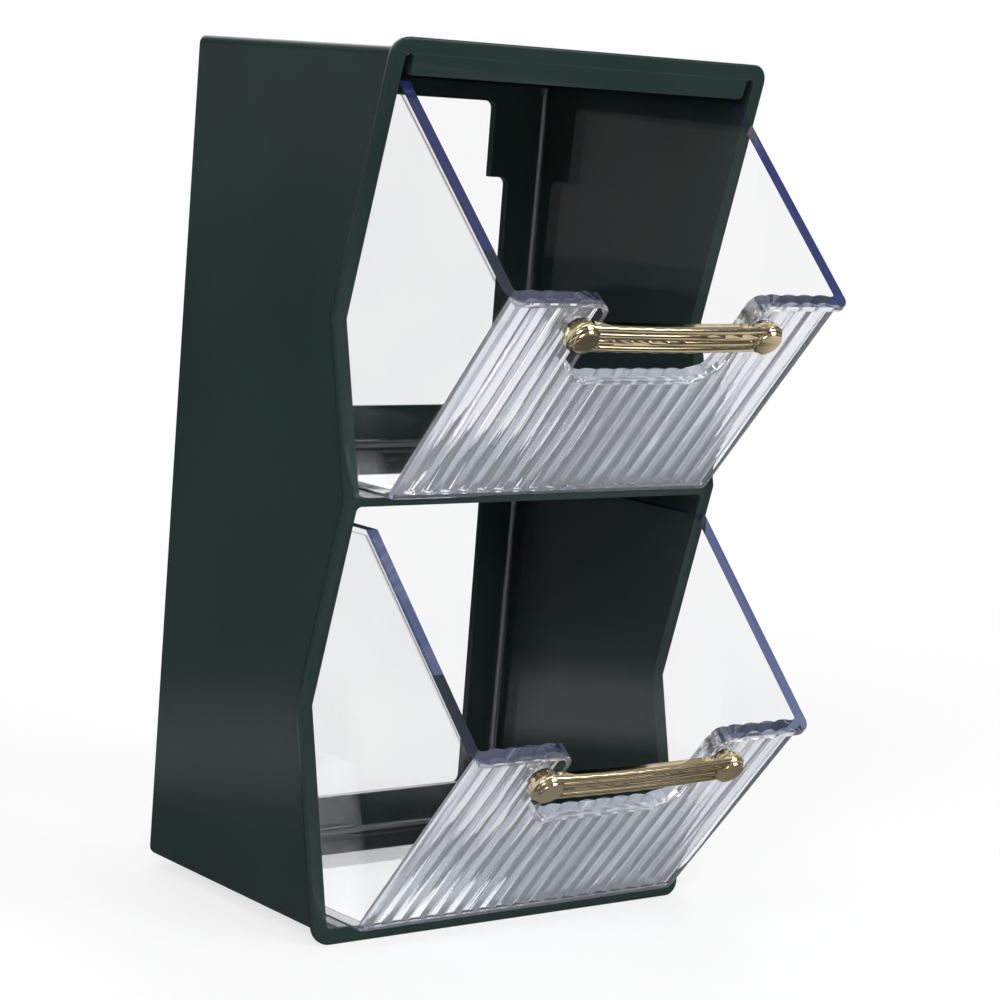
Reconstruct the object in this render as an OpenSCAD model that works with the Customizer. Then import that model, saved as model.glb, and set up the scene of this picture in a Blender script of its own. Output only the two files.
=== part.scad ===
// Two-tier chest with a zig-zag front, two clear drawers that lean out of it, and ribbed pull handles.
// X is to the right, Y to the back, Z up. The origin is the middle of the face the chest stands on.

/* [Housing] */
// Width of the housing over its front flange
housing_w = 145; // [130:1:190]
// Height of the housing over its front flange
housing_h = 268; // [236:1:310]
// Depth of the housing, from the top front edge to the back
housing_d = 106; // [96:1:150]
// How far the front flange stands out from the walls
flange_out = 2.7; // [1.6:0.1:3.2]
// Depth of the front flange
flange_d = 1.8; // [1.6:0.1:4]
// Radius of the outer front edge of the flange
rim_r = 0.8; // [0.4:0.1:1.2]
// Radius of the flange's corners, seen from the front
corner_r = 5.6; // [4.8:0.1:9]
// Radius of the corners inside the bays
inner_r = 1.6; // [0.8:0.1:2.4]
// Thickness of walls, floor and roof
wall_t = 2.1; // [1.9:0.1:3]
// How much each side wall has come in at the back
side_taper = 0.5; // [0:0.1:0.8]
// How much the roof has come down at the back
roof_taper = 0.9; // [0:0.1:1]
// How much the underside has come up at the back
floor_taper = 0.9; // [0:0.1:1]
// Radius of the outer back edges
back_r = 0.7; // [0.3:0.1:0.9]
// Height of the upper face of the shelf
shelf_z = 134.5; // [118:0.5:150]
// Thickness of the shelf
shelf_t = 2.7; // [2:0.1:4]

/* [Rear pads] */
// Width of the two pads under the back
pad_w = 14; // [8:1:24]
// Depth of the pads
pad_d = 8; // [6:0.5:14]
// Distance of the pads from the side walls
pad_side = 14; // [10:1:30]
// Distance of the pads from the back
pad_back = 6; // [4:0.5:16]

/* [Zig-zag front] */
// How far the front edge lies back at the shelf
shelf_back = 8.4; // [4:0.2:12]
// How far the front edge lies back at the floor
base_back = 8.4; // [4:0.2:12]
// Height of the deepest point of the upper side notch
upper_notch_z = 185.4; // [170:0.2:200]
// How far the front edge lies back in the upper notch
upper_notch_back = 20.8; // [14:0.2:28]
// Height of the deepest point of the lower side notch
lower_notch_z = 69.5; // [55:0.5:85]
// How far the front edge lies back in the lower notch
lower_notch_back = 24.6; // [14:0.2:30]

/* [Header rail] */
// Depth of the header rail below the roof
header_h = 6.1; // [4:0.1:9]
// Thickness of the header rail
header_t = 2.6; // [2:0.1:4]
// Width of the open slot at each end of the header rail
header_slot = 3.2; // [2:0.1:6]
// Radius of the lower corners of the header rail and of the top of its slots
header_r = 1.6; // [1:0.1:2]

/* [Back frame] */
// Thickness of the back frame
back_t = 2.6; // [2:0.1:4]
// How far the back frame lies in from the back edge of the walls
back_in = 3; // [1.5:0.1:8]
// Clearance round the back frame
back_gap = 0.15; // [0.1:0.05:0.3]
// Width of the upright bands of the back frame, from the side walls
frame_side = 15.1; // [8:0.1:20]
// Height of the band over the upper opening
top_band = 7.1; // [5:0.1:14]
// Height of the band under the shelf, over the lower opening
mid_band = 8; // [5:0.1:14]
// Height of the band under the upper opening
upper_sill = 14.2; // [6:0.1:20]
// Height of the band under the lower opening
lower_sill = 12.7; // [6:0.1:20]
// Width of the ears in the top corners of the upper opening
ear_w = 7.5; // [4:0.5:12]
// Height of the ears
ear_h = 25; // [12:1:40]
// Radius of the corners of the back openings
opening_r = 2.6; // [1.5:0.1:3.5]

/* [Drawer] */
// Gap between the drawer's rim and the side walls
side_gap = 0.9; // [0.5:0.1:3]
// Gap under the drawer
run_gap = 0.3; // [0.2:0.05:0.6]
// Gap between the drawer and the back frame
rear_gap = 0.4; // [0.3:0.1:6]
// Least gap over the drawer's level rim
top_gap = 1.7; // [0.8:0.1:6]
// Height of the lip above the drawer's underside
lip_z = 64.4; // [55:0.2:75]
// How far the lip stands out before the housing's top front edge
lip_out = 50.4; // [40:0.2:60]
// How far the lower front edge lies behind the housing's top front edge
toe_back = 1; // [0:0.2:6]
// How far the front end of the level rim lies behind the housing's top front edge
rim_back = 5.4; // [2:0.2:12]
// Thickness of the drawer's side and back walls
drawer_wall = 2.4; // [1.8:0.1:3]
// Thickness of the drawer's bottom
drawer_floor = 2.4; // [1.8:0.1:3.4]
// Outer radius of the drawer's corners
drawer_r = 3.6; // [3:0.1:5]
// How much each side wall leans in from rim to bottom
drawer_lean = 2; // [0.5:0.1:3]
// Width of the rim that stands out from the walls
rim_out = 1.8; // [1:0.1:2.4]
// Height of the rim
rim_h = 1.8; // [1.2:0.1:3]

/* [Fluted front] */
// Distance from one flute to the next
flute_pitch = 6.6; // [5:0.1:9]
// Depth of a flute
flute_depth = 0.9; // [0.4:0.1:1.2]
// Thickness of the fluted sheet
sheet_t = 2.6; // [2:0.1:3.2]
// Width of the flat land between two flutes
flute_land = 0.4; // [0.2:0.1:0.8]
// Plain margin at each side of the flutes
flute_margin = 3; // [2:0.5:8]
// Plain band below the flutes
flute_foot = 3.4; // [2:0.1:6]
// Width of the finger notch in the lip
notch_w = 57; // [44:1:58]
// Depth of the finger notch below the lip
notch_d = 31; // [24:0.5:36]
// Radius of the lower corners of the finger notch
notch_r = 8; // [4:0.5:11]
// Radius where the finger notch opens into the lip
notch_flare = 5; // [3:0.5:6]

/* [Handle] */
// Distance between the two buttons of the handle
handle_span = 70.6; // [66:0.2:80]
// Distance of the handle's middle line below the lip
handle_drop = 10.4; // [9:0.2:14]
// Width of the ribbed bar
bar_w = 10; // [8:0.2:12]
// Thickness of the bar under its ribs
bar_t = 2; // [1.4:0.1:3]
// Height of the bar's back above the drawer front
bar_stand = 3; // [2:0.1:5]
// How far the middle of the bar bows out
bar_bow = 0.8; // [0.4:0.1:2]
// Number of ribs along the bar
rib_count = 4; // [3:1:6]
// Height of a rib
rib_h = 0.8; // [0.4:0.1:1.2]
// Radius of the lowest step of the end rosettes
rosette_r = 5.4; // [4.6:0.1:6]
// How much each step of a rosette is smaller than the one below
rosette_step = 0.7; // [0.4:0.1:0.9]
// Height of each step of a rosette
step_h = 1.1; // [0.8:0.1:1.6]
// Radius of the feet between bar and drawer front
foot_r = 3.6; // [3:0.1:4.2]
// Height of the round seats under the feet
boss_out = 0.4; // [0.2:0.1:1]

/* [Screws] */
// Radius of the screw shanks
shank_r = 1.4; // [1.2:0.05:1.6]
// Radial clearance of the shank in the handle foot
shank_gap = 0.05; // [0.02:0.01:0.08]
// Radial clearance of the shank in the drawer front
hole_gap = 0.3; // [0.2:0.05:0.5]
// Length of the shank inside the handle
shank_bite = 4; // [3:0.1:4.4]
// Space left at the end of the blind hole
blind_gap = 0.4; // [0.2:0.1:0.6]
// Radius of the screw heads
head_r = 2.8; // [2.4:0.1:3.2]
// Height of the screw heads
head_h = 1.8; // [1.4:0.1:2.4]
// Width of the cross slot in the screw heads
slot_w = 0.7; // [0.5:0.1:0.9]
// Depth of the cross slot
slot_d = 0.9; // [0.5:0.1:1.1]

/* [Hidden] */
$fn = 64;
over = 1;            // how far a cut runs past the face it opens
arc_n = 4;           // facets across a rounded edge
corner_n = 8;        // facets of a housing corner
ball_fn = 28;        // facets round a corner of the drawer
front_y = -base_back - (rim_r + flange_d) / 2;
back_y = front_y + housing_d;
floor_z = flange_out + wall_t;
roof_z = housing_h - flange_out - wall_t;
inner_w = housing_w - 2 * (flange_out + wall_t);
header_z = roof_z - header_h;
slot_r = header_slot / 2;
slot_over = header_slot / 10;

// the front edge of the side walls, as [back, height] from the floor to the roof
front_line = [
    [base_back, 0], [lower_notch_back, lower_notch_z], [shelf_back, shelf_z],
    [upper_notch_back, upper_notch_z], [0, housing_h]
];
function front_at(z, i = 0) =
    i == len(front_line) - 2 || z <= front_line[i + 1][1]
        ? let (a = front_line[i], b = front_line[i + 1])
            a[0] + (b[0] - a[0]) * (z - a[1]) / (b[1] - a[1])
        : front_at(z, i + 1);

// drawer sizes, with y from the housing's front edge and z from the drawer's underside
drawer_half = inner_w / 2 - side_gap;
drawer_back = housing_d - back_in - back_t - rear_gap;
drawer_h = min(header_z - shelf_z, shelf_z - shelf_t - floor_z) - run_gap - top_gap;
lean = drawer_lean / drawer_h;
slope = atan2(lip_out + toe_back, lip_z);
panel_l = norm([lip_out + toe_back, lip_z]);
flute_half = (flute_pitch - flute_land) / 2;
flute_r = (pow(flute_half, 2) + pow(flute_depth, 2)) / (2 * flute_depth);
flute_c = flute_r - flute_depth;
reed_r = flute_r + sheet_t;
cusp_t = sqrt(pow(reed_r, 2) - pow(flute_half, 2)) - flute_c;
crown_t = reed_r - flute_c;
toe_half = drawer_half - rim_out - drawer_lean;
flute_n = floor((2 * (toe_half - flute_margin)) / flute_pitch);
flare_end = 12;              // angle at which the notch runs out into the lip
notch_rim = rim_h - 0.25;    // raised edge round the notch, kept inside the rim of the lip
boss_r = head_r + 1.2;
bar_front = bar_stand + bar_t;

// the right half of the housing's outline, from the bottom up: [angle, height, bottom 0 or side 1 or top 2]
half_outline = concat(
    [for (i = [0 : corner_n]) [270 + 90 * i / corner_n, 0, 0]],
    [for (z = [lower_notch_z, shelf_z, upper_notch_z]) [0, z, 1]],
    [for (i = [0 : corner_n]) [90 * i / corner_n, 0, 2]]
);
half_n = len(half_outline);

// a point of the outline, inset by d, where the walls have come in by the share t of their taper
function outline_z(p, d, t) =
    p[2] == 1 ? p[1]
    : p[2] == 0 ? corner_r + floor_taper * t + (corner_r - d) * sin(p[0])
    : housing_h - corner_r - roof_taper * t + (corner_r - d) * sin(p[0]);
function outline_x(p, d, t) =
    housing_w / 2 - corner_r - side_taper * t + (corner_r - d) * cos(p[0]);

// a ring of points round the housing: at y, or y behind the zig-zag front edge
function mirrored(half) = concat(half, [for (i = [half_n - 1 : -1 : 0]) [-half[i][0], half[i][1], half[i][2]]]);
function level_ring(d, y) = mirrored([for (p = half_outline)
    let (t = (y - front_y) / housing_d) [outline_x(p, d, t), y, outline_z(p, d, t)]]);
function front_ring(d, y, taper) = mirrored([for (p = half_outline)
    let (at = front_at(outline_z(p, d, 0)) + y, t = taper * at / housing_d)
        [outline_x(p, d, t), front_y + at, outline_z(p, d, t)]]);

// the housing without its hollows: rings from the back, round the back edge and up the flange to the front
module outer_body() {
    m = 2 * half_n;
    rings = concat(
        [for (i = [0 : arc_n])
            let (a = 90 * i / arc_n)
                level_ring(flange_out + back_r * (1 - sin(a)), back_y - back_r * (1 - cos(a)))],
        [front_ring(flange_out, flange_d, 1), front_ring(0, flange_d, 0)],
        [for (i = [0 : arc_n])
            let (a = 90 * i / arc_n)
                front_ring(rim_r * (1 - cos(a)), rim_r * (1 - sin(a)), 0)]
    );
    last = m * (len(rings) - 1);
    sides = [for (k = [0 : len(rings) - 2], j = [0 : m - 1], half = [0, 1])
        let (a = k * m + j, b = k * m + (j + 1) % m, c = b + m, d = a + m)
            half == 0 ? [a, d, c] : [a, c, b]];
    back_cap = [for (i = [0 : half_n - 2]) [i, i + 1, m - 2 - i, m - 1 - i]];
    front_cap = [for (i = [0 : half_n - 2])
        [last + m - 1 - i, last + m - 2 - i, last + i + 1, last + i]];
    polyhedron([for (ring = rings, p = ring) p], concat(sides, back_cap, front_cap), convexity = 8);
}

// a rounded upright rectangle, drawn in X and Z and extruded along Y
module tube(w, z0, z1, r, y0, y1) {
    translate([0, y1, 0]) rotate([90, 0, 0]) linear_extrude(y1 - y0)
        rounded(w, z0, z1, r);
}

module rounded(w, z0, z1, r) {
    for (s = [-1, 1]) {
        translate([s * (w / 2 - r), z0 + r]) circle(r);
        translate([s * (w / 2 - r), z1 - r]) circle(r);
    }
    translate([-w / 2 + r, z0]) square([w - 2 * r, z1 - z0]);
    translate([-w / 2, z0 + r]) square([w, z1 - z0 - 2 * r]);
}

// everything behind the zig-zag front line, moved back by d
module behind_front(d = 0) {
    pts = concat(
        [[back_y + over, -over], [front_y + base_back + d, -over]],
        [for (p = front_line) [front_y + p[0] + d, p[1]]],
        [[front_y + d, housing_h + over], [back_y + over, housing_h + over]]
    );
    rotate([90, 0, 90]) linear_extrude(2 * housing_w, center = true) polygon(pts);
}

module header_rail() {
    end = inner_w / 2 - header_slot;
    low = header_z + header_r;
    intersection() {
        translate([0, front_y + housing_d / 4, 0]) rotate([90, 0, 0]) linear_extrude(housing_d / 2) union() {
            translate([-end, low]) square([2 * end, roof_z + wall_t / 2 - low]);
            translate([header_r - end, header_z]) square([2 * (end - header_r), header_h]);
            for (s = [-1, 1]) translate([s * (end - header_r), low]) circle(header_r);
            for (s = [-1, 1]) translate([s * end, roof_z]) difference() {
                translate([-slot_r / 2, -slot_r]) square([slot_r, slot_r + wall_t / 2]);
                translate([s * slot_r, slot_over - slot_r]) circle(slot_r);
            }
        }
        difference() {
            behind_front();
            behind_front(header_t);
        }
    }
}

module housing() color([0.11, 0.19, 0.17]) union() {
    difference() {
        outer_body();
        tube(inner_w, floor_z, shelf_z - shelf_t, inner_r, front_y - over, back_y + over);
        tube(inner_w, shelf_z, roof_z, inner_r, front_y - over, back_y + over);
        tube(inner_w, floor_z, roof_z, inner_r, back_y - back_in - back_t, back_y + over);
    }
    header_rail();
    for (s = [-1, 1])
        translate([s * (inner_w / 2 - pad_side - pad_w / 2) - pad_w / 2, back_y - pad_back - pad_d, 0])
            cube([pad_w, pad_d, floor_z - wall_t / 2]);
}

module back_frame() color([0.09, 0.16, 0.145]) {
    w = inner_w - 2 * frame_side;
    y0 = back_y - back_in - back_t;
    y1 = back_y - back_in;
    top = header_z - top_band;
    difference() {
        tube(inner_w - 2 * back_gap, floor_z + back_gap, roof_z - back_gap, inner_r - back_gap, y0, y1);
        tube(w, floor_z + lower_sill, shelf_z - shelf_t - mid_band, opening_r, y0 - over, y1 + over);
        tube(w, shelf_z + upper_sill, top - ear_h, opening_r, y0 - over, y1 + over);
        tube(w - 2 * ear_w, shelf_z + upper_sill, top, opening_r, y0 - over, y1 + over);
    }
}

// the drawer's closed outer form, set in from the sides, the front, the back and the bottom
module form(side, front, back, low, r) {
    for_z = [low + r, drawer_h + 4 * over];
    hull()
        for (s = [-1, 1], z = for_z) {
            x = s * (drawer_half - rim_out - lean * (drawer_h - z) - side - r);
            translate([x, toe_back - z * tan(slope) + (front + r) / cos(slope), z]) sphere(r, $fn = ball_fn);
            translate([x, drawer_back - rim_out - back - r, z]) sphere(r, $fn = ball_fn);
        }
}

// where two lines meet, each given by a point and a direction
function meet(p, u, q, v) = p + u * cross(q - p, v) / cross(u, v);

// the drawer's open edge seen from the side, as [y, z], moved down into the walls by d
function rim_line(d) =
    let (n_in = [cos(slope), sin(slope)], up = [-sin(slope), cos(slope)],
         lip = [-lip_out, lip_z], crest = lip + crown_t * n_in, front_end = [rim_back, drawer_h],
         u = (crest - front_end) / norm(crest - front_end), m = [-u[1], u[0]],
         a = meet([0, drawer_h - d], [1, 0], front_end + d * m, u),
         b = meet(front_end + d * m, u, crest - d * up, n_in))
    [[drawer_back + 10 * over, drawer_h - d], a, b, b - n_in * (crown_t + 10 * over)];

module under_rim(d) {
    line = rim_line(d);
    pts = concat([[drawer_back + 10 * over, -over]], line, [[line[3][0] - over, -over]]);
    rotate([90, 0, 90]) linear_extrude(2 * housing_w, center = true) polygon(pts);
}

// puts things on the drawer's front: x across, y up the front from its lower edge, z outward
module on_front() {
    translate([0, toe_back, 0]) rotate([90 + slope, 0, 0]) children();
}

// the finger notch in the lip, with its edge moved outward by g
module notch_shape(g = 0) {
    half = notch_w / 2 + g;
    low = panel_l - notch_d - g;
    r = notch_r + g;
    translate([-half, low + r]) square([2 * half, notch_d + g - r + over]);
    translate([-half + r, low]) square([2 * (half - r), r + over]);
    for (s = [-1, 1]) {
        translate([s * (half - r), low + r]) circle(r);
        translate([s * (notch_w / 2 + notch_flare), panel_l - notch_flare * cos(flare_end)])
            difference() {
                translate([s > 0 ? -notch_flare : 0, 0])
                    square([notch_flare, notch_flare + over]);
                circle(notch_flare - g);
            }
    }
}

function flute_x(i) = (i - (flute_n - 1) / 2) * flute_pitch;

module flutes() {
    for (i = [0 : flute_n - 1])
        translate([flute_x(i), flute_foot, flute_c]) rotate([-90, 0, 0])
            cylinder(r = flute_r, h = panel_l - rim_h - flute_foot);
}

module reeds() {
    translate([0, panel_l + over, 0]) rotate([90, 0, 0]) linear_extrude(panel_l)
        for (i = [0 : flute_n - 1])
            intersection() {
                translate([flute_x(i), flute_c]) circle(reed_r);
                translate([flute_x(i) - flute_pitch / 2, -crown_t - over]) square([flute_pitch, crown_t]);
            }
}

module fixings() {
    for (s = [-1, 1]) translate([s * handle_span / 2, panel_l - handle_drop, 0]) children();
}

module drawer() color([0.8, 0.85, 0.9, 0.4]) {
    difference() {
        union() {
            difference() {
                intersection() {
                    form(0, 0, 0, 0, drawer_r);
                    under_rim(0);
                }
                on_front() flutes();
            }
            intersection() {
                form(-rim_out, -rim_out, -rim_out, -rim_out, drawer_r + rim_out);
                difference() {
                    under_rim(0);
                    under_rim(rim_h);
                }
            }
            on_front() {
                translate([0, 0, -cusp_t + over / 2]) linear_extrude(cusp_t + rim_out - over / 2) intersection() {
                    notch_shape(notch_rim);
                    translate([-housing_w / 2, 0]) square([housing_w, panel_l - over / 2]);
                }
                fixings() translate([0, 0, -cusp_t]) cylinder(r = boss_r, h = cusp_t + boss_out);
            }
        }
        difference() {
            form(drawer_wall, cusp_t, drawer_wall, drawer_floor, drawer_r - drawer_wall);
            on_front() {
                reeds();
                fixings() translate([0, 0, -crown_t]) cylinder(r = boss_r, h = crown_t);
            }
        }
        on_front() {
            translate([0, 0, -crown_t - over]) linear_extrude(crown_t + rim_out + 2 * over) notch_shape();
            fixings() translate([0, 0, -crown_t - over]) cylinder(r = shank_r + hole_gap, h = crown_t + 2 * over);
        }
    }
}

// the ribbed bar in cross section: distance out from the drawer front, and height up it
module bar_section() {
    rib_w = bar_w / rib_count;
    rib_r = (pow(rib_w / 2, 2) + pow(rib_h, 2)) / (2 * rib_h);
    intersection() {
        union() {
            translate([0, -bar_w / 2]) square([bar_t - rib_h / 4, bar_w]);
            for (i = [0 : rib_count - 1])
                translate([bar_t + rib_h - rib_r, (i + 0.5) * rib_w - bar_w / 2]) circle(rib_r, $fn = 64);
        }
        translate([0, -bar_w / 2]) square([bar_t + rib_h + over, bar_w]);
    }
}

module handle() color([0.85, 0.68, 0.36]) {
    half = handle_span / 2;
    bow_r = (pow(half, 2) + pow(bar_bow, 2)) / (2 * bar_bow);
    sweep = 2 * asin(half / bow_r);
    on_front() difference() {
        union() {
            translate([0, panel_l - handle_drop, bar_stand + bar_bow - bow_r]) rotate([-90, 0, 0])
                rotate([0, 0, -90 - sweep / 2]) rotate_extrude(angle = sweep, $fn = 720)
                    translate([bow_r, 0]) bar_section();
            fixings() {
                translate([0, 0, boss_out]) cylinder(r = foot_r, h = bar_front - boss_out);
                translate([0, 0, bar_stand]) cylinder(r = rosette_r, h = bar_t);
                for (i = [1 : 2])
                    translate([0, 0, bar_front + (i - 1) * step_h])
                        cylinder(r1 = rosette_r - (i - 0.5) * rosette_step, r2 = rosette_r - i * rosette_step, h = step_h);
            }
        }
        fixings() translate([0, 0, boss_out - over]) cylinder(r = shank_r + shank_gap, h = shank_bite + blind_gap + over);
    }
}

module screws() color("silver") {
    on_front() fixings() difference() {
        union() {
            translate([0, 0, -crown_t - over / 2])
                cylinder(r = shank_r, h = crown_t + over / 2 + boss_out + shank_bite);
            translate([0, 0, -crown_t - head_h / 2]) cylinder(r = head_r, h = head_h / 2);
            translate([0, 0, -crown_t - head_h]) cylinder(r1 = head_r - head_h / 2, r2 = head_r, h = head_h / 2);
        }
        for (a = [0, 90]) rotate([0, 0, a])
            translate([-head_r / 2, -slot_w / 2, -crown_t - head_h - over]) cube([head_r, slot_w, slot_d + over]);
    }
}

module upper_place() {
    translate([0, front_y, shelf_z + run_gap]) children();
}

module lower_place() {
    translate([0, front_y, floor_z + run_gap]) children();
}

housing();
back_frame();
upper_place() drawer();  // upper_drawer
lower_place() drawer();  // lower_drawer
upper_place() handle();  // upper_handle
lower_place() handle();  // lower_handle
upper_place() screws();  // upper_handle_screws
lower_place() screws();  // lower_handle_screws
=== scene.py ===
import math

import bpy
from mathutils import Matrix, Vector


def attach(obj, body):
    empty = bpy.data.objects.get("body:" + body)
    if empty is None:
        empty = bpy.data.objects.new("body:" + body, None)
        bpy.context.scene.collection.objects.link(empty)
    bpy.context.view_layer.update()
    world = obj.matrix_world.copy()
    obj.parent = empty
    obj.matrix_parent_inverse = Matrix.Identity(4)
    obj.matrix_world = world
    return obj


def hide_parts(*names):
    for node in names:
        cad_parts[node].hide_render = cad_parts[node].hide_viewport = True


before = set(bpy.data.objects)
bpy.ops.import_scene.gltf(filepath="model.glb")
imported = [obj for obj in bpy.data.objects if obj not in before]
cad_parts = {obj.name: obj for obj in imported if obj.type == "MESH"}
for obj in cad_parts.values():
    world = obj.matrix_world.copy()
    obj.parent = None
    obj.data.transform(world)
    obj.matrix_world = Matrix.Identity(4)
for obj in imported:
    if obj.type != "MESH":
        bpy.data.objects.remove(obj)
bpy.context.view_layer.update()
print("frame loaded:", len(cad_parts), "nodes")


# small helpers for node materials

def newMaterial(name):
    material = bpy.data.materials.new(name)
    material.use_nodes = True
    nodes = material.node_tree.nodes
    nodes.clear()
    output = nodes.new("ShaderNodeOutputMaterial")
    return material, nodes, material.node_tree.links, output


def addNoise(nodes, links, coords, scale, detail=3.0, stretch=None):
    noise = nodes.new("ShaderNodeTexNoise")
    noise.inputs["Scale"].default_value = scale
    noise.inputs["Detail"].default_value = detail
    source = coords
    if stretch:
        mapping = nodes.new("ShaderNodeMapping")
        mapping.inputs["Scale"].default_value = stretch
        links.new(coords, mapping.inputs["Vector"])
        source = mapping.outputs["Vector"]
    links.new(source, noise.inputs["Vector"])
    return noise.outputs["Fac"]


def addRange(nodes, links, value, low, high, fromLow=0.3, fromHigh=0.7):
    remap = nodes.new("ShaderNodeMapRange")
    remap.inputs["From Min"].default_value = fromLow
    remap.inputs["From Max"].default_value = fromHigh
    remap.inputs["To Min"].default_value = low
    remap.inputs["To Max"].default_value = high
    links.new(value, remap.inputs["Value"])
    return remap.outputs["Result"]


def addRamp(nodes, links, value, stops):
    ramp = nodes.new("ShaderNodeValToRGB")
    while len(ramp.color_ramp.elements) > 1:
        ramp.color_ramp.elements.remove(ramp.color_ramp.elements[0])
    ramp.color_ramp.elements[0].position = stops[0][0]
    ramp.color_ramp.elements[0].color = (*stops[0][1], 1)
    for position, colour in stops[1:]:
        element = ramp.color_ramp.elements.new(position)
        element.color = (*colour, 1)
    links.new(value, ramp.inputs["Fac"])
    return ramp.outputs["Color"]


def setSocket(links, socket, value):
    # a socket takes either another node's output or a fixed value
    if isinstance(value, bpy.types.NodeSocket):
        links.new(value, socket)
    else:
        socket.default_value = value


def addMath(nodes, links, operation, first, second):
    maths = nodes.new("ShaderNodeMath")
    maths.operation = operation
    for socket, value in zip(maths.inputs, (first, second)):
        setSocket(links, socket, value)
    return maths.outputs["Value"]


def addColourMix(nodes, links, share, first, second, blend="MIX"):
    mix = nodes.new("ShaderNodeMix")
    mix.data_type = "RGBA"
    mix.blend_type = blend
    for name, value in (("Factor", share), ("A", first), ("B", second)):
        setSocket(links, mix.inputs[name], value)
    return mix.outputs["Result"]


def addShaderMix(nodes, links, share, first, second):
    mix = nodes.new("ShaderNodeMixShader")
    setSocket(links, mix.inputs["Fac"], share)
    links.new(first, mix.inputs[1])
    links.new(second, mix.inputs[2])
    return mix.outputs["Shader"]


def addBump(nodes, links, height, strength, distance, normal=None):
    bump = nodes.new("ShaderNodeBump")
    bump.inputs["Strength"].default_value = strength
    bump.inputs["Distance"].default_value = distance
    links.new(height, bump.inputs["Height"])
    if normal is not None:
        links.new(normal, bump.inputs["Normal"])
    return bump.outputs["Normal"]


def addSoftEdge(nodes, radius, samples=4):
    bevel = nodes.new("ShaderNodeBevel")
    bevel.samples = samples
    bevel.inputs["Radius"].default_value = radius
    return bevel.outputs["Normal"]


def addEdgeMask(nodes, links, radius, sharpTurn=0.80, flatTurn=0.995):
    # 1 where the surface turns sharply, 0 on flat parts
    soft = addSoftEdge(nodes, radius)
    geometry = nodes.new("ShaderNodeNewGeometry")
    dot = nodes.new("ShaderNodeVectorMath")
    dot.operation = "DOT_PRODUCT"
    links.new(soft, dot.inputs[0])
    links.new(geometry.outputs["Normal"], dot.inputs[1])
    return addRange(nodes, links, dot.outputs["Value"], 1.0, 0.0, sharpTurn, flatTurn)


def addObjectCoords(nodes):
    return nodes.new("ShaderNodeTexCoord").outputs["Object"]


def addSeen(nodes, links, light):
    # 1 where the camera looks straight at something, also through clear plastic
    straight = light.outputs["Is Camera Ray"]
    return addMath(nodes, links, "MAXIMUM", straight, light.outputs["Is Transmission Ray"])


# housing: dark green moulded plastic

greenPlastic = {
    "dark": (0.0158, 0.0305, 0.0272),
    "light": (0.0188, 0.0355, 0.0320),
    # painted highlight colour for the paler edges
    "edge": (0.062, 0.094, 0.090),
    "cloudScale": 22.0,
    "cloudStops": (0.32, 0.68),
    "roughLow": 0.16,
    "roughHigh": 0.22,
    "specular": 0.22,
    "smearScale": 9.0,
    "smearDetail": 4.0,
    "smearStretch": (1.0, 1.0, 0.35),
    "softEdge": 0.0006,
    "highlightBreakScale": 260.0,
    "highlightLow": 0.15,
    "highlightHigh": 0.75,
    "waveScale": 14.0,
    "waveStrength": 0.10,
    "waveDepth": 0.002,
    "grainScale": 2600.0,
    "grainStrength": 0.05,
    "grainDepth": 0.00003,
}


def makeGreenPlastic(values):
    material, nodes, links, output = newMaterial("greenPlastic")
    shader = nodes.new("ShaderNodeBsdfPrincipled")
    shader.inputs["Specular IOR Level"].default_value = values["specular"]
    coords = addObjectCoords(nodes)
    cloud = addNoise(nodes, links, coords, values["cloudScale"])
    low, high = values["cloudStops"]
    colour = addRamp(nodes, links, cloud, [(low, values["dark"]), (high, values["light"])])
    # paler edges painted on as a highlight, broken up so that they are not one even line
    paintedHighlight = addEdgeMask(nodes, links, values["softEdge"])
    highlightBreak = addNoise(nodes, links, coords, values["highlightBreakScale"], 2.0)
    highlightShare = addRange(nodes, links, highlightBreak, values["highlightLow"], values["highlightHigh"])
    highlightAmount = addMath(nodes, links, "MULTIPLY", paintedHighlight, highlightShare)
    highlighted = addColourMix(nodes, links, highlightAmount, colour, (*values["edge"], 1))
    links.new(highlighted, shader.inputs["Base Color"])
    smear = addNoise(nodes, links, coords, values["smearScale"], values["smearDetail"],
                     values["smearStretch"])
    links.new(addRange(nodes, links, smear, values["roughLow"], values["roughHigh"]),
              shader.inputs["Roughness"])
    soft = addSoftEdge(nodes, values["softEdge"])
    wave = addNoise(nodes, links, coords, values["waveScale"], 1.0)
    waved = addBump(nodes, links, wave, values["waveStrength"], values["waveDepth"], soft)
    grain = addNoise(nodes, links, coords, values["grainScale"], 2.0)
    grained = addBump(nodes, links, grain, values["grainStrength"], values["grainDepth"], waved)
    links.new(grained, shader.inputs["Normal"])
    links.new(shader.outputs["BSDF"], output.inputs["Surface"])
    return material


# drawers: clear moulded plastic

clearPlastic = {
    "tint": (0.985, 0.99, 1.0),
    "tintLow": (0.97, 0.98, 0.995),
    "cloudScale": 18.0,
    "cloudStops": (0.3, 0.7),
    "ior": 1.57,
    "haze": 0.13,
    "hazeColour": (0.90, 0.93, 0.98),
    "roughLow": 0.012,
    "roughHigh": 0.03,
    "smearScale": 30.0,
    "flowScale": 16.0,
    "flowStretch": (1.0, 1.0, 0.4),
    "flowStrength": 0.05,
    "flowDepth": 0.0008,
    "deepColour": (0.25, 0.36, 0.72),
    "deepDensity": 9.0,
    "shadowLoss": (0.90, 0.91, 0.93),
}

# the same plastic where a rim is seen along its length, which looks dark and blue: painted shade, a darker
# tint and a dark blue solid mixed in for the dark look of light trapped in the rim
clearRim = dict(clearPlastic, tint=(0.82, 0.86, 0.95), tintLow=(0.73, 0.78, 0.91), haze=0.0)
rimPaintedShade = {"colour": (0.032, 0.044, 0.082), "share": 0.38, "roughness": 0.12}

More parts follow.
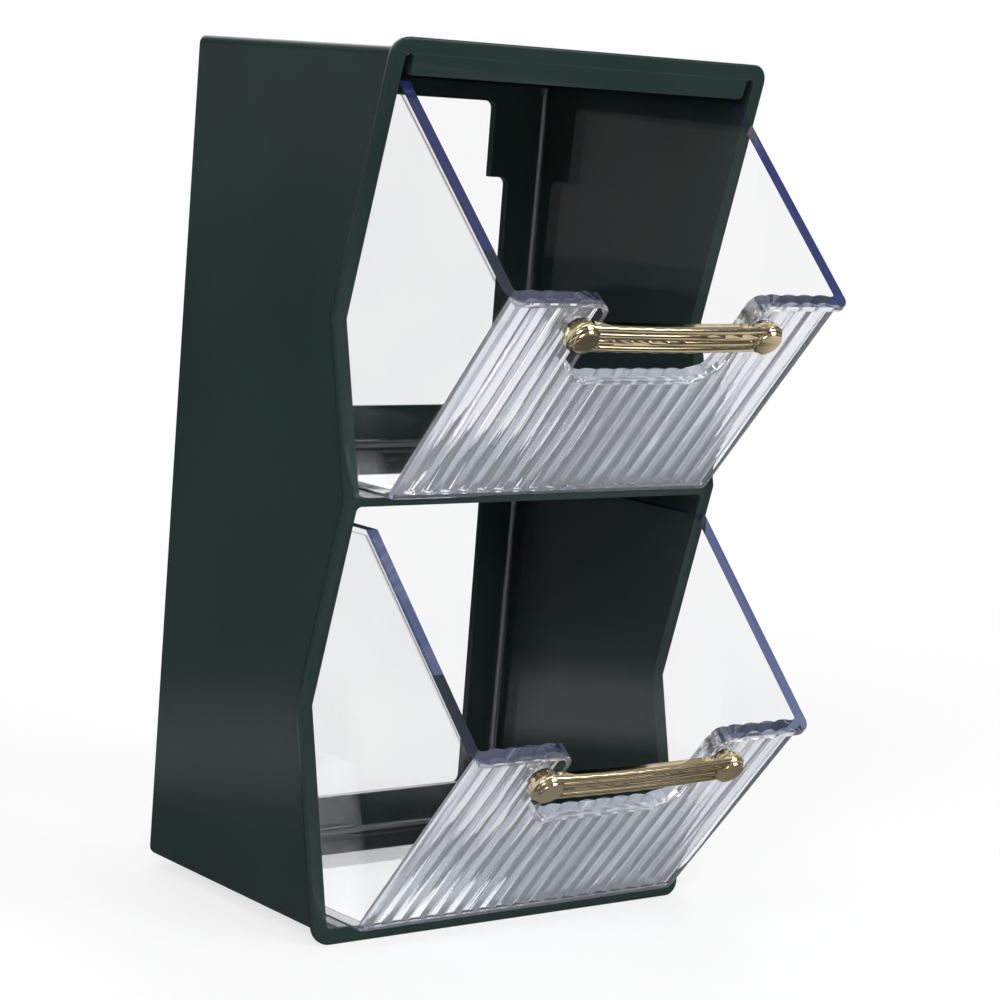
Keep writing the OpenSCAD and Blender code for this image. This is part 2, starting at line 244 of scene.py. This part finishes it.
# and on the flat walls, which bend no light that shows
clearWall = dict(clearPlastic, tint=(1.0, 1.0, 1.0), tintLow=(0.985, 0.987, 0.993), ior=1.40,
                 roughLow=0.015, roughHigh=0.04)


def addClearFinish(nodes, links, values):
    coords = addObjectCoords(nodes)
    cloud = addNoise(nodes, links, coords, values["cloudScale"], 2.0)
    low, high = values["cloudStops"]
    tint = addRamp(nodes, links, cloud, [(low, values["tintLow"]), (high, values["tint"])])
    smear = addNoise(nodes, links, coords, values["smearScale"])
    rough = addRange(nodes, links, smear, values["roughLow"], values["roughHigh"])
    flow = addNoise(nodes, links, coords, values["flowScale"], 1.0, values["flowStretch"])
    normal = addBump(nodes, links, flow, values["flowStrength"], values["flowDepth"])
    return tint, rough, normal


def makeClearPlastic(values, name, body=None):
    material, nodes, links, output = newMaterial(name)
    shader = nodes.new("ShaderNodeBsdfPrincipled")
    shader.inputs["Transmission Weight"].default_value = 1.0
    shader.inputs["IOR"].default_value = values["ior"]
    tint, rough, normal = addClearFinish(nodes, links, values)
    links.new(tint, shader.inputs["Base Color"])
    links.new(rough, shader.inputs["Roughness"])
    links.new(normal, shader.inputs["Normal"])
    haze = nodes.new("ShaderNodeBsdfDiffuse")
    haze.inputs["Color"].default_value = (*values["hazeColour"], 1)
    hazy = addShaderMix(nodes, links, values["haze"], shader.outputs["BSDF"], haze.outputs["BSDF"])
    # light passes through to the floor without being bent
    light = nodes.new("ShaderNodeLightPath")
    clearShadow = nodes.new("ShaderNodeBsdfTransparent")
    clearShadow.inputs["Color"].default_value = (*values["shadowLoss"], 1)
    surface = addShaderMix(nodes, links, light.outputs["Is Shadow Ray"],
                           hazy, clearShadow.outputs["BSDF"])
    # painted shade: a dark blue solid mixed into the surface, for rims
    if body:
        paintedShade = nodes.new("ShaderNodeBsdfPrincipled")
        paintedShade.inputs["Base Color"].default_value = (*body["colour"], 1)
        paintedShade.inputs["Roughness"].default_value = body["roughness"]
        surface = addShaderMix(nodes, links, body["share"], surface, paintedShade.outputs["BSDF"])
    links.new(surface, output.inputs["Surface"])
    depth = nodes.new("ShaderNodeVolumeAbsorption")
    depth.inputs["Color"].default_value = (*values["deepColour"], 1)
    depth.inputs["Density"].default_value = values["deepDensity"]
    links.new(depth.outputs["Volume"], output.inputs["Volume"])
    return material


def makeClearWall(values):
    material, nodes, links, output = newMaterial("clearPlasticWall")
    tint, rough, normal = addClearFinish(nodes, links, values)
    through = nodes.new("ShaderNodeBsdfTransparent")
    links.new(tint, through.inputs["Color"])
    gloss = nodes.new("ShaderNodeBsdfGlossy")
    links.new(rough, gloss.inputs["Roughness"])
    links.new(normal, gloss.inputs["Normal"])
    # the same share of gloss from both sides of a face
    share = nodes.new("ShaderNodeFresnel")
    behind = nodes.new("ShaderNodeNewGeometry").outputs["Backfacing"]
    bend = addRange(nodes, links, behind, values["ior"], 1 / values["ior"], 0.0, 1.0)
    links.new(bend, share.inputs["IOR"])
    surface = addShaderMix(nodes, links, share.outputs["Fac"],
                           through.outputs["BSDF"], gloss.outputs["BSDF"])
    links.new(surface, output.inputs["Surface"])
    return material


# handles: gold plated, with painted shade darker down in the grooves

goldPlate = {
    "bright": (0.92, 0.77, 0.50),
    "deep": (0.87, 0.69, 0.41),
    "cloudScale": 30.0,
    "cloudStops": (0.3, 0.65),
    "grooveShade": (0.15, 0.09, 0.033),
    "grooveReach": 0.0011,
    "grooveSamples": 6,
    "grooveLow": 0.45,
    "grooveHigh": 0.85,
    "roughLow": 0.08,
    "roughHigh": 0.13,
    "smearScale": 240.0,
    "dentScale": 500.0,
    "dentStrength": 0.03,
    "dentDepth": 0.00005,
}


def makeGoldPlate(values):
    material, nodes, links, output = newMaterial("goldPlate")
    shader = nodes.new("ShaderNodeBsdfPrincipled")
    shader.inputs["Metallic"].default_value = 1.0
    coords = addObjectCoords(nodes)
    cloud = addNoise(nodes, links, coords, values["cloudScale"], 2.0)
    low, high = values["cloudStops"]
    plate = addRamp(nodes, links, cloud, [(low, values["deep"]), (high, values["bright"])])
    # painted shade: ambient occlusion darkens the plate colour to dark brown down in the grooves
    hollow = nodes.new("ShaderNodeAmbientOcclusion")
    hollow.samples = values["grooveSamples"]
    hollow.inputs["Distance"].default_value = values["grooveReach"]
    outside = addRange(nodes, links, hollow.outputs["AO"], 0.0, 1.0,
                       values["grooveLow"], values["grooveHigh"])
    grooveShaded = addColourMix(nodes, links, outside, (*values["grooveShade"], 1), plate)
    links.new(grooveShaded, shader.inputs["Base Color"])
    smear = addNoise(nodes, links, coords, values["smearScale"])
    links.new(addRange(nodes, links, smear, values["roughLow"], values["roughHigh"]),
              shader.inputs["Roughness"])
    dents = addNoise(nodes, links, coords, values["dentScale"], 2.0)
    links.new(addBump(nodes, links, dents, values["dentStrength"], values["dentDepth"]),
              shader.inputs["Normal"])
    links.new(shader.outputs["BSDF"], output.inputs["Surface"])
    return material


# screws: plain steel

screwSteel = {
    "light": (0.62, 0.61, 0.60),
    "dark": (0.40, 0.40, 0.41),
    "cloudScale": 700.0,
    "cloudStops": (0.3, 0.7),
    "roughLow": 0.22,
    "roughHigh": 0.38,
    "markScale": 3000.0,
    "markStrength": 0.1,
    "markDepth": 0.00005,
}


def makeScrewSteel(values):
    material, nodes, links, output = newMaterial("screwSteel")
    shader = nodes.new("ShaderNodeBsdfPrincipled")
    shader.inputs["Metallic"].default_value = 1.0
    coords = addObjectCoords(nodes)
    cloud = addNoise(nodes, links, coords, values["cloudScale"])
    low, high = values["cloudStops"]
    links.new(addRamp(nodes, links, cloud, [(low, values["dark"]), (high, values["light"])]),
              shader.inputs["Base Color"])
    links.new(addRange(nodes, links, cloud, values["roughLow"], values["roughHigh"]),
              shader.inputs["Roughness"])
    marks = addNoise(nodes, links, coords, values["markScale"])
    links.new(addBump(nodes, links, marks, values["markStrength"], values["markDepth"]),
              shader.inputs["Normal"])
    links.new(shader.outputs["BSDF"], output.inputs["Surface"])
    return material


green = makeGreenPlastic(greenPlastic)
clear = makeClearPlastic(clearPlastic, "clearPlastic")
rim = makeClearPlastic(clearRim, "clearPlasticRim", rimPaintedShade)
wall = makeClearWall(clearWall)
gold = makeGoldPlate(goldPlate)
steel = makeScrewSteel(screwSteel)
print("materials ready")


# the moulded pieces: smooth copies of the solids

smoothing = {
    "merge": 0.000002,
    "faceWeight": 100,
    "turn": 30.0,  # degrees past which an edge stays sharp
    "drawerTurn": 25.0,
    "handleTurn": 50.0,
}


def smoothCopy(node, name, body, material, turn=smoothing["turn"]):
    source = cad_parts[node]
    piece = source.copy()
    piece.data = source.data.copy()
    piece.name = name
    bpy.context.collection.objects.link(piece)
    bpy.ops.object.select_all(action="DESELECT")
    piece.select_set(True)
    bpy.context.view_layer.objects.active = piece
    bpy.ops.object.mode_set(mode="EDIT")
    bpy.ops.mesh.select_all(action="SELECT")
    bpy.ops.mesh.remove_doubles(threshold=smoothing["merge"])
    bpy.ops.object.mode_set(mode="OBJECT")
    bpy.ops.object.shade_smooth_by_angle(angle=math.radians(turn))
    evener = piece.modifiers.new("evenNormals", "WEIGHTED_NORMAL")
    evener.keep_sharp = True
    evener.weight = smoothing["faceWeight"]
    bpy.ops.object.modifier_apply(modifier=evener.name)
    piece.data.materials.clear()
    piece.data.materials.append(material)
    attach(piece, body)
    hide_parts(node)
    return piece


# where a drawer's faces get the rim material with its painted shade, and the wall material

drawerForm = {
    "frontY": -0.0097,  # lengths along the drawer count from here, the housing's top front edge
    "bend": 0.0058,
    "slopeRun": 0.0562,  # from the bend the rim runs this far forward and this far down
    "rimBack": 0.100,
    "backWall": 0.094,
    "floorTop": 0.003,
    "margin": 0.0631,  # further than this from the middle, all faces are wall
    "reach": 0.0016,  # how far from the rim's line a face still counts as rim
    "upward": 0.25,
    "flat": 0.9,
}
rimIndex = 1
wallIndex = 2


def distanceToLine(spot, start, end):
    along = (spot - start).dot(end - start) / (end - start).length_squared
    return (spot - start.lerp(end, max(0.0, min(1.0, along)))).length


def paintDrawer(piece, values):
    for part in (rim, wall):
        piece.data.materials.append(part)
    heights = [vertex.co.z for vertex in piece.data.vertices]
    low, tall = min(heights), max(heights) - min(heights)
    # the rim in side view, from the back to the lip
    back = Vector((values["rimBack"], tall))
    bend = Vector((values["bend"], tall))
    lip = bend - Vector((values["slopeRun"], values["slopeRun"]))
    for face in piece.data.polygons:
        spot = Vector((face.center.y - values["frontY"], face.center.z - low))
        toRim = min(distanceToLine(spot, back, bend), distanceToLine(spot, bend, lip))
        onRim = toRim < values["reach"] and face.normal.z > values["upward"]
        onSide = abs(face.normal.x) > values["flat"]
        onBack = abs(face.normal.y) > values["flat"] and spot.x > values["backWall"]
        onFloor = abs(face.normal.z) > values["flat"] and spot.y < values["floorTop"]
        onMargin = abs(face.center.x) > values["margin"]
        if onRim:
            face.material_index = rimIndex
        elif onSide or onBack or onFloor or onMargin:
            face.material_index = wallIndex


smoothCopy("housing", "housingShell", "housing", green)
smoothCopy("back_frame", "backFrame", "housing", green)
for tier in ("upper", "lower"):
    body = tier + "_drawer"
    drawer = smoothCopy(body, tier + "Drawer", body, clear, smoothing["drawerTurn"])
    paintDrawer(drawer, drawerForm)
    smoothCopy(tier + "_handle", tier + "Handle", body, gold, smoothing["handleTurn"])
    smoothCopy(tier + "_handle_screws", tier + "Screws", body, steel)
print("pieces ready")


# floor, background, lights

studio = {
    "white": 1.0,
    "ambient": 0.6,
    # brightness by height above the horizon, as reflections see it
    "sky": [(0.0, (0.75, 0.75, 0.75)), (0.12, (0.11, 0.11, 0.115)), (0.34, (0.11, 0.11, 0.115)),
            (0.46, (0.9, 0.9, 0.9)), (0.62, (0.10, 0.10, 0.10)), (0.8, (0.8, 0.8, 0.8))],
    # and round the table, for the panels and the white backdrop
    "panels": [(0.10, (0.25, 0.25, 0.25)), (0.16, (1.0, 1.0, 1.0)), (0.24, (1.0, 1.0, 1.0)),
               (0.28, (0.15, 0.15, 0.15)), (0.36, (0.15, 0.15, 0.15)), (0.40, (1.0, 1.0, 1.0)),
               (0.9, (0.6, 0.6, 0.6))],
    "backdrop": [(0.585, (0, 0, 0)), (0.605, (1, 1, 1)), (0.69, (1, 1, 1)), (0.71, (0, 0, 0))],
    "floorSize": 8.0,
    "floorColour": (0.93, 0.93, 0.94),
    # the floor in reflections, by distance in metres from the middle of the box
    "glossRings": [(0.0, (0.24, 0.24, 0.24)), (0.09, (0.22, 0.22, 0.22)), (0.13, (0.08, 0.08, 0.08)),
                   (0.20, (0.08, 0.08, 0.08)), (0.25, (0.60, 0.60, 0.60)), (0.33, (0.55, 0.55, 0.55)),
                   (0.42, (0.07, 0.07, 0.075))],
    # the floor seen straight: it keeps the shadow near the box and fades to white away from it
    "floorGlow": 0.72,
    "fadeStart": 0.25,
    "fadeEnd": 0.75,
}


def makeFloor(values):
    bpy.ops.object.select_all(action="DESELECT")
    bpy.ops.mesh.primitive_plane_add(size=values["floorSize"], location=(0, 0, 0))
    floor = bpy.context.object
    floor.name = "studioFloor"
    material, nodes, links, output = newMaterial("paleFloor")
    light = nodes.new("ShaderNodeLightPath")
    spread = nodes.new("ShaderNodeVectorMath")
    spread.operation = "LENGTH"
    links.new(addObjectCoords(nodes), spread.inputs[0])
    distance = spread.outputs["Value"]
    pale = nodes.new("ShaderNodeBsdfDiffuse")
    pale.inputs["Color"].default_value = (*values["floorColour"], 1)
    rings = nodes.new("ShaderNodeBsdfDiffuse")
    links.new(addRamp(nodes, links, distance, values["glossRings"]), rings.inputs["Color"])
    lit = addShaderMix(nodes, links, light.outputs["Is Glossy Ray"],
                       pale.outputs["BSDF"], rings.outputs["BSDF"])
    glow = nodes.new("ShaderNodeEmission")
    glow.inputs["Strength"].default_value = values["white"]
    fade = addRange(nodes, links, distance, values["floorGlow"], 1.0,
                    values["fadeStart"], values["fadeEnd"])
    share = addMath(nodes, links, "MULTIPLY", addSeen(nodes, links, light), fade)
    surface = addShaderMix(nodes, links, share, lit, glow.outputs["Emission"])
    links.new(surface, output.inputs["Surface"])
    floor.data.materials.append(material)


def makeWorld(values):
    world = bpy.data.worlds.new("studioWorld")
    bpy.context.scene.world = world
    world.use_nodes = True
    nodes = world.node_tree.nodes
    links = world.node_tree.links
    nodes.clear()
    output = nodes.new("ShaderNodeOutputWorld")
    seenSky = nodes.new("ShaderNodeBackground")
    seenSky.inputs["Color"].default_value = (1, 1, 1, 1)
    seenSky.inputs["Strength"].default_value = values["white"]
    parts = nodes.new("ShaderNodeSeparateXYZ")
    links.new(nodes.new("ShaderNodeTexCoord").outputs["Generated"], parts.inputs["Vector"])
    height = addRamp(nodes, links, parts.outputs["Z"], values["sky"])
    around = addMath(nodes, links, "ARCTAN2", parts.outputs["Y"], parts.outputs["X"])
    turn = addRange(nodes, links, around, 0.0, 1.0, -math.pi, math.pi)
    panels = addRamp(nodes, links, turn, values["panels"])
    backdrop = addRamp(nodes, links, turn, values["backdrop"])
    both = addColourMix(nodes, links, 1.0, height, panels, "MULTIPLY")
    litSky = nodes.new("ShaderNodeBackground")
    litSky.inputs["Strength"].default_value = values["ambient"]
    links.new(addColourMix(nodes, links, 1.0, both, backdrop, "ADD"), litSky.inputs["Color"])
    light = nodes.new("ShaderNodeLightPath")
    seen = addSeen(nodes, links, light)
    surface = addShaderMix(nodes, links, seen, litSky.outputs["Background"], seenSky.outputs["Background"])
    links.new(surface, output.inputs["Surface"])


# soft lights, each with its place, width, height and power

lights = {
    "keyLeft": ((-1.5, -0.86, 1.1), 1.2, 1.2, 22),
    "frontFill": ((0.9, -1.66, 0.9), 1.0, 1.0, 19),
    "topSheet": ((0.0, -0.06, 1.7), 1.4, 1.4, 10),
    "backSheet": ((0.5, 1.64, 0.8), 1.4, 1.0, 10),
}
lightAim = (0, 0.04, 0.14)  # about the middle of the box


def addSoftbox(name, place, width, height, power):
    lamp = bpy.data.lights.new(name, "AREA")
    lamp.shape = "RECTANGLE"
    lamp.size = width
    lamp.size_y = height
    lamp.energy = power
    holder = bpy.data.objects.new(name, lamp)
    bpy.context.collection.objects.link(holder)
    holder.location = place
    holder.rotation_euler = (Vector(lightAim) - Vector(place)).to_track_quat("-Z", "Y").to_euler()


makeFloor(studio)
makeWorld(studio)
for name, settings in lights.items():
    addSoftbox(name, *settings)
print("studio ready")


# camera

view = {
    "place": (-0.58934, -0.70607, 0.26171),
    "turn": (81.887, -4.378, -38.548),  # degrees
    "lens": 109.68,
    "sensor": 36.0,
    "nearest": 0.05,
}
bpy.ops.object.camera_add(location=view["place"], rotation=[math.radians(a) for a in view["turn"]])
camera = bpy.context.object
camera.data.lens = view["lens"]
camera.data.sensor_width = view["sensor"]
camera.data.clip_start = view["nearest"]
bpy.context.scene.camera = camera
bpy.context.scene.view_settings.view_transform = "Standard"

# clear plastic needs long light paths
lightPaths = {
    "max_bounces": 20,
    "glossy_bounces": 16,
    "transmission_bounces": 20,
    "transparent_max_bounces": 24,
}
for name, count in lightPaths.items():
    setattr(bpy.context.scene.cycles, name, count)
print("camera ready")
